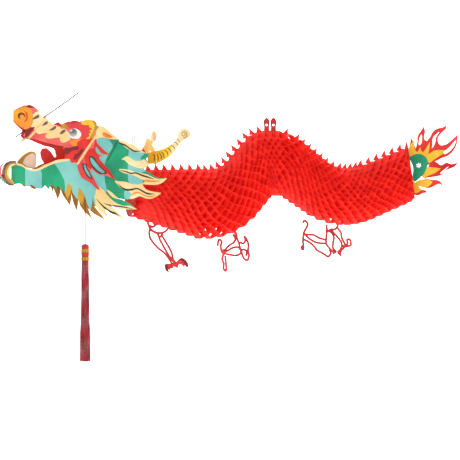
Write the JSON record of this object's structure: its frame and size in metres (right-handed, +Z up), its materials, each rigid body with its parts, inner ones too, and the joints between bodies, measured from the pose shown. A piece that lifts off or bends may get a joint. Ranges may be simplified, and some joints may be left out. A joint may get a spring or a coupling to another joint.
{
  "type": "hanging paper dragon decoration",
  "caption": "Hanging honeycomb tissue dragon whose body gathers and bends, with a slot-together card head, cut-paper legs, a card tail fan and a silk tassel.",
  "frame": {"origin": "middle of the thread hole in the front one of the two tall tabs at the top of the body's arch", "axes": "+Z up, -X the way the dragon faces, -Y its left side"},
  "size_m": [0.9932, 0.242, 0.5903],
  "materials": {
    "red_tissue": "matte",
    "red_card": "matte",
    "printed_face_card": "satin",
    "printed_jaw_card": "satin",
    "cream_card": "satin",
    "green_card": "satin",
    "gold_card": "satin",
    "pink_card": "satin",
    "silver_foil": "satin",
    "black_wire": "satin",
    "dark_red_paper": "matte",
    "red_silk": "satin",
    "gold_foil": "gloss",
    "printed_tail_card": "satin"
  },
  "bodies": {
    "crest": {"crest_leaves": "red_tissue", "crest_tabs": "red_tissue"},
    "crest_front": {"crest_front_leaf": "red_tissue", "crest_front_honeycomb": "red_tissue"},
    "rise": {"rise_leaf": "red_tissue", "rise_honeycomb": "red_tissue"},
    "front_right": {"front_right_leaf": "red_tissue", "belly_honeycomb": "red_tissue"},
    "front_trough": {"front_trough_leaf": "red_tissue", "front_trough_honeycomb": "red_tissue"},
    "front_left": {"front_left_leaf": "red_tissue", "shoulder_honeycomb": "red_tissue"},
    "neck": {"front_end_card": "red_card", "neck_honeycomb": "red_tissue", "neck_strip": "red_card"},
    "head": {"face_card": "printed_face_card", "jaw_card": "printed_jaw_card", "chin_curl": "cream_card", "snout_plate": "cream_card", "forehead_plate": "cream_card", "mane_plate": "green_card", "left_eye": "silver_foil", "right_eye": "silver_foil", "tongue": "pink_card", "fang": "gold_card", "whisker_wire": "black_wire", "left_horn": "gold_card", "right_horn": "gold_card", "horn_bridge": "gold_card", "lock_tabs": "red_card"},
    "tassel_knot": {"tassel_knot": "red_silk"},
    "tassel": {"tassel_cord": "red_silk", "tassel_cap": "red_silk", "tassel_bands": "gold_foil", "tassel_skirt": "red_silk"},
    "crest_rear": {"crest_rear_leaf": "red_tissue", "crest_rear_honeycomb": "red_tissue"},
    "fall": {"fall_leaf": "red_tissue", "fall_honeycomb": "red_tissue"},
    "hind": {"hind_leaf": "red_tissue", "hind_honeycomb": "red_tissue"},
    "rear_trough": {"rear_trough_leaf": "red_tissue", "rear_trough_honeycomb": "red_tissue"},
    "tail_end": {"tail_end_card": "red_card", "tail_honeycomb": "red_tissue"},
    "tail": {"tail_fan": "printed_tail_card"},
    "front_left_leg": {"front_left_leg": "dark_red_paper"},
    "front_right_leg": {"front_right_leg": "dark_red_paper"},
    "hind_left_leg": {"hind_left_leg": "dark_red_paper"},
    "hind_right_leg": {"hind_right_leg": "dark_red_paper"}
  },
  "joints": [
    {"name": "crest_front_bend", "type": "hinge", "parent": "crest", "child": "crest_front", "pos_m": [-0.00135, 0, -0.16042], "axis": [0, 1, 0], "range_deg": [-12, 13], "deforming": ["crest_front_honeycomb"]},
    {"name": "rise_gather", "type": "slide", "parent": "crest_front", "child": "rise", "axis": [0.6428, 0, 0.766], "range_m": [-0.008, 0.036], "deforming": ["rise_honeycomb"]},
    {"name": "belly_bend", "type": "hinge", "parent": "rise", "child": "front_right", "pos_m": [-0.09479, 0, -0.07898], "axis": [0, -1, 0], "range_deg": [-12, 7], "deforming": ["belly_honeycomb"]},
    {"name": "front_trough_bend", "type": "hinge", "parent": "front_right", "child": "front_trough", "pos_m": [-0.1281, 0, -0.09334], "axis": [0, -1, 0], "range_deg": [-12, 10], "deforming": ["front_trough_honeycomb"]},
    {"name": "shoulder_gather", "type": "slide", "parent": "front_trough", "child": "front_left", "axis": [0.9877, 0, -0.1564], "range_m": [-0.008, 0.045], "deforming": ["shoulder_honeycomb"]},
    {"name": "neck_turn", "type": "hinge", "parent": "front_left", "child": "neck", "pos_m": [-0.26339, 0, -0.1558], "axis": [0, 0, 1], "range_deg": [-45, 5], "deforming": ["neck_honeycomb"]},
    {"name": "head_nod", "type": "hinge", "parent": "neck", "child": "head", "pos_m": [-0.3807, -0.02976, -0.10772], "axis": [-0.342, 0.9397, 0], "range_deg": [-12, 8]},
    {"name": "tassel_swing", "type": "hinge", "parent": "head", "child": "tassel_knot", "pos_m": [-0.3979, -0.03602, -0.14258], "axis": [-0.342, 0.9397, 0], "range_deg": [-30, 50]},
    {"name": "tassel_sway", "type": "hinge", "parent": "tassel_knot", "child": "tassel", "pos_m": [-0.3979, -0.03602, -0.14258], "axis": [0.9397, 0.342, 0], "range_deg": [-40, 40]},
    {"name": "crest_rear_bend", "type": "hinge", "parent": "crest", "child": "crest_rear", "pos_m": [0.02513, 0, -0.15887], "axis": [0, -1, 0], "range_deg": [-12, 10], "deforming": ["crest_rear_honeycomb"]},
    {"name": "fall_gather", "type": "slide", "parent": "crest_rear", "child": "fall", "axis": [-0.7986, 0, 0.6018], "range_m": [-0.008, 0.042], "deforming": ["fall_honeycomb"]},
    {"name": "hind_bend", "type": "hinge", "parent": "fall", "child": "hind", "pos_m": [0.13797, 0, -0.08289], "axis": [0, 1, 0], "range_deg": [-12, 9], "deforming": ["hind_honeycomb"]},
    {"name": "rear_trough_bend", "type": "hinge", "parent": "hind", "child": "rear_trough", "pos_m": [0.18233, 0, -0.09092], "axis": [0, 1, 0], "range_deg": [-12, 9], "deforming": ["rear_trough_honeycomb"]},
    {"name": "tail_gather", "type": "slide", "parent": "rear_trough", "child": "tail_end", "axis": [-0.9205, 0, -0.3907], "range_m": [-0.01, 0.08], "deforming": ["tail_honeycomb"]},
    {"name": "tail_swing", "type": "hinge", "parent": "tail_end", "child": "tail", "pos_m": [0.31825, 0, -0.1048], "axis": [-0.14, 0, 0.9901], "range_deg": [-30, 30]},
    {"name": "front_left_leg_swing", "type": "hinge", "parent": "front_left", "child": "front_left_leg", "pos_m": [-0.23536, -0.016, -0.22708], "axis": [-1, 0, 0], "range_deg": [-8, 60]},
    {"name": "front_right_leg_swing", "type": "hinge", "parent": "front_right", "child": "front_right_leg", "pos_m": [-0.09074, 0.016, -0.24096], "axis": [1, 0, 0], "range_deg": [-8, 60]},
    {"name": "hind_left_leg_swing", "type": "hinge", "parent": "hind", "child": "hind_left_leg", "pos_m": [0.14772, -0.016, -0.22119], "axis": [-1, 0, 0], "range_deg": [-12, 60]},
    {"name": "hind_right_leg_swing", "type": "hinge", "parent": "hind", "child": "hind_right_leg", "pos_m": [0.15972, 0.016, -0.22119], "axis": [1, 0, 0], "range_deg": [-12, 60]}
  ]
}
